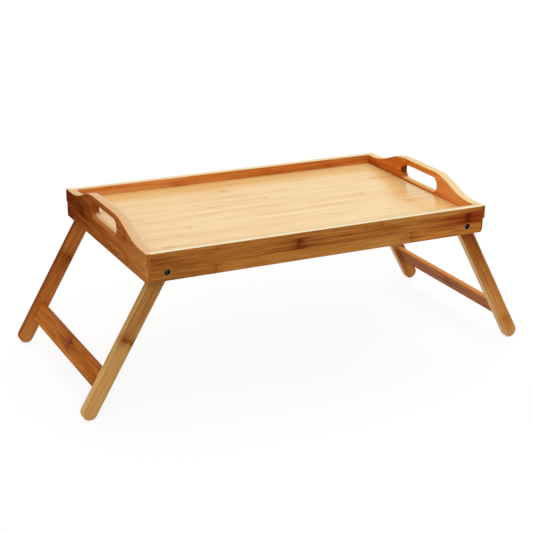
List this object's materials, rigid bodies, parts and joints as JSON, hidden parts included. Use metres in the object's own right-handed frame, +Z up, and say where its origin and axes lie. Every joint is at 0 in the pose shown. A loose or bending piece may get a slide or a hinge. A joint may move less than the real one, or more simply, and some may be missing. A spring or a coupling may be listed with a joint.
{
  "type": "folding tray table",
  "caption": "Low bamboo bed tray with a framed panel, raised end boards with hand slots, and splayed leg frames that fold flat beneath it.",
  "frame": {"origin": "on the floor, midway between the four feet, below the middle of the tray", "axes": "+X along the tray to its right end, +Y towards the back, +Z up"},
  "size_m": [0.6652, 0.3, 0.2339],
  "materials": {
    "panel_bamboo": "clear satin lacquer",
    "frame_bamboo": "clear satin lacquer",
    "leg_bamboo": "clear satin lacquer",
    "dowel_wood": "plain, glued in",
    "black_steel": "black oxide",
    "plated_steel": "zinc plated"
  },
  "bodies": {
    "tray": {"tray_panel": "panel_bamboo", "front_rail": "frame_bamboo", "rear_rail": "frame_bamboo", "left_end_board": "frame_bamboo", "right_end_board": "frame_bamboo", "left_front_pivot_bolt": "black_steel", "left_front_spacer_washer": "plated_steel", "left_front_nut_washer": "plated_steel", "left_front_lock_nut": "plated_steel", "left_rear_pivot_bolt": "black_steel", "left_rear_spacer_washer": "plated_steel", "left_rear_nut_washer": "plated_steel", "left_rear_lock_nut": "plated_steel", "right_front_pivot_bolt": "black_steel", "right_front_spacer_washer": "plated_steel", "right_front_nut_washer": "plated_steel", "right_front_lock_nut": "plated_steel", "right_rear_pivot_bolt": "black_steel", "right_rear_spacer_washer": "plated_steel", "right_rear_nut_washer": "plated_steel", "right_rear_lock_nut": "plated_steel"},
    "left_leg_frame": {"left_stretcher": "leg_bamboo", "left_front_leg": "leg_bamboo", "left_front_upper_dowel": "dowel_wood", "left_front_lower_dowel": "dowel_wood", "left_rear_leg": "leg_bamboo", "left_rear_upper_dowel": "dowel_wood", "left_rear_lower_dowel": "dowel_wood"},
    "right_leg_frame": {"right_stretcher": "leg_bamboo", "right_front_leg": "leg_bamboo", "right_front_upper_dowel": "dowel_wood", "right_front_lower_dowel": "dowel_wood", "right_rear_leg": "leg_bamboo", "right_rear_upper_dowel": "dowel_wood", "right_rear_lower_dowel": "dowel_wood"}
  },
  "joints": [
    {"name": "left_leg_fold", "type": "hinge", "parent": "tray", "child": "left_leg_frame", "pos_m": [-0.2226, 0, 0.18668], "axis": [0, -1, 0], "range_deg": [0, 119.5]},
    {"name": "right_leg_fold", "type": "hinge", "parent": "tray", "child": "right_leg_frame", "pos_m": [0.2226, 0, 0.18668], "axis": [0, 1, 0], "range_deg": [0, 119.5]}
  ]
}
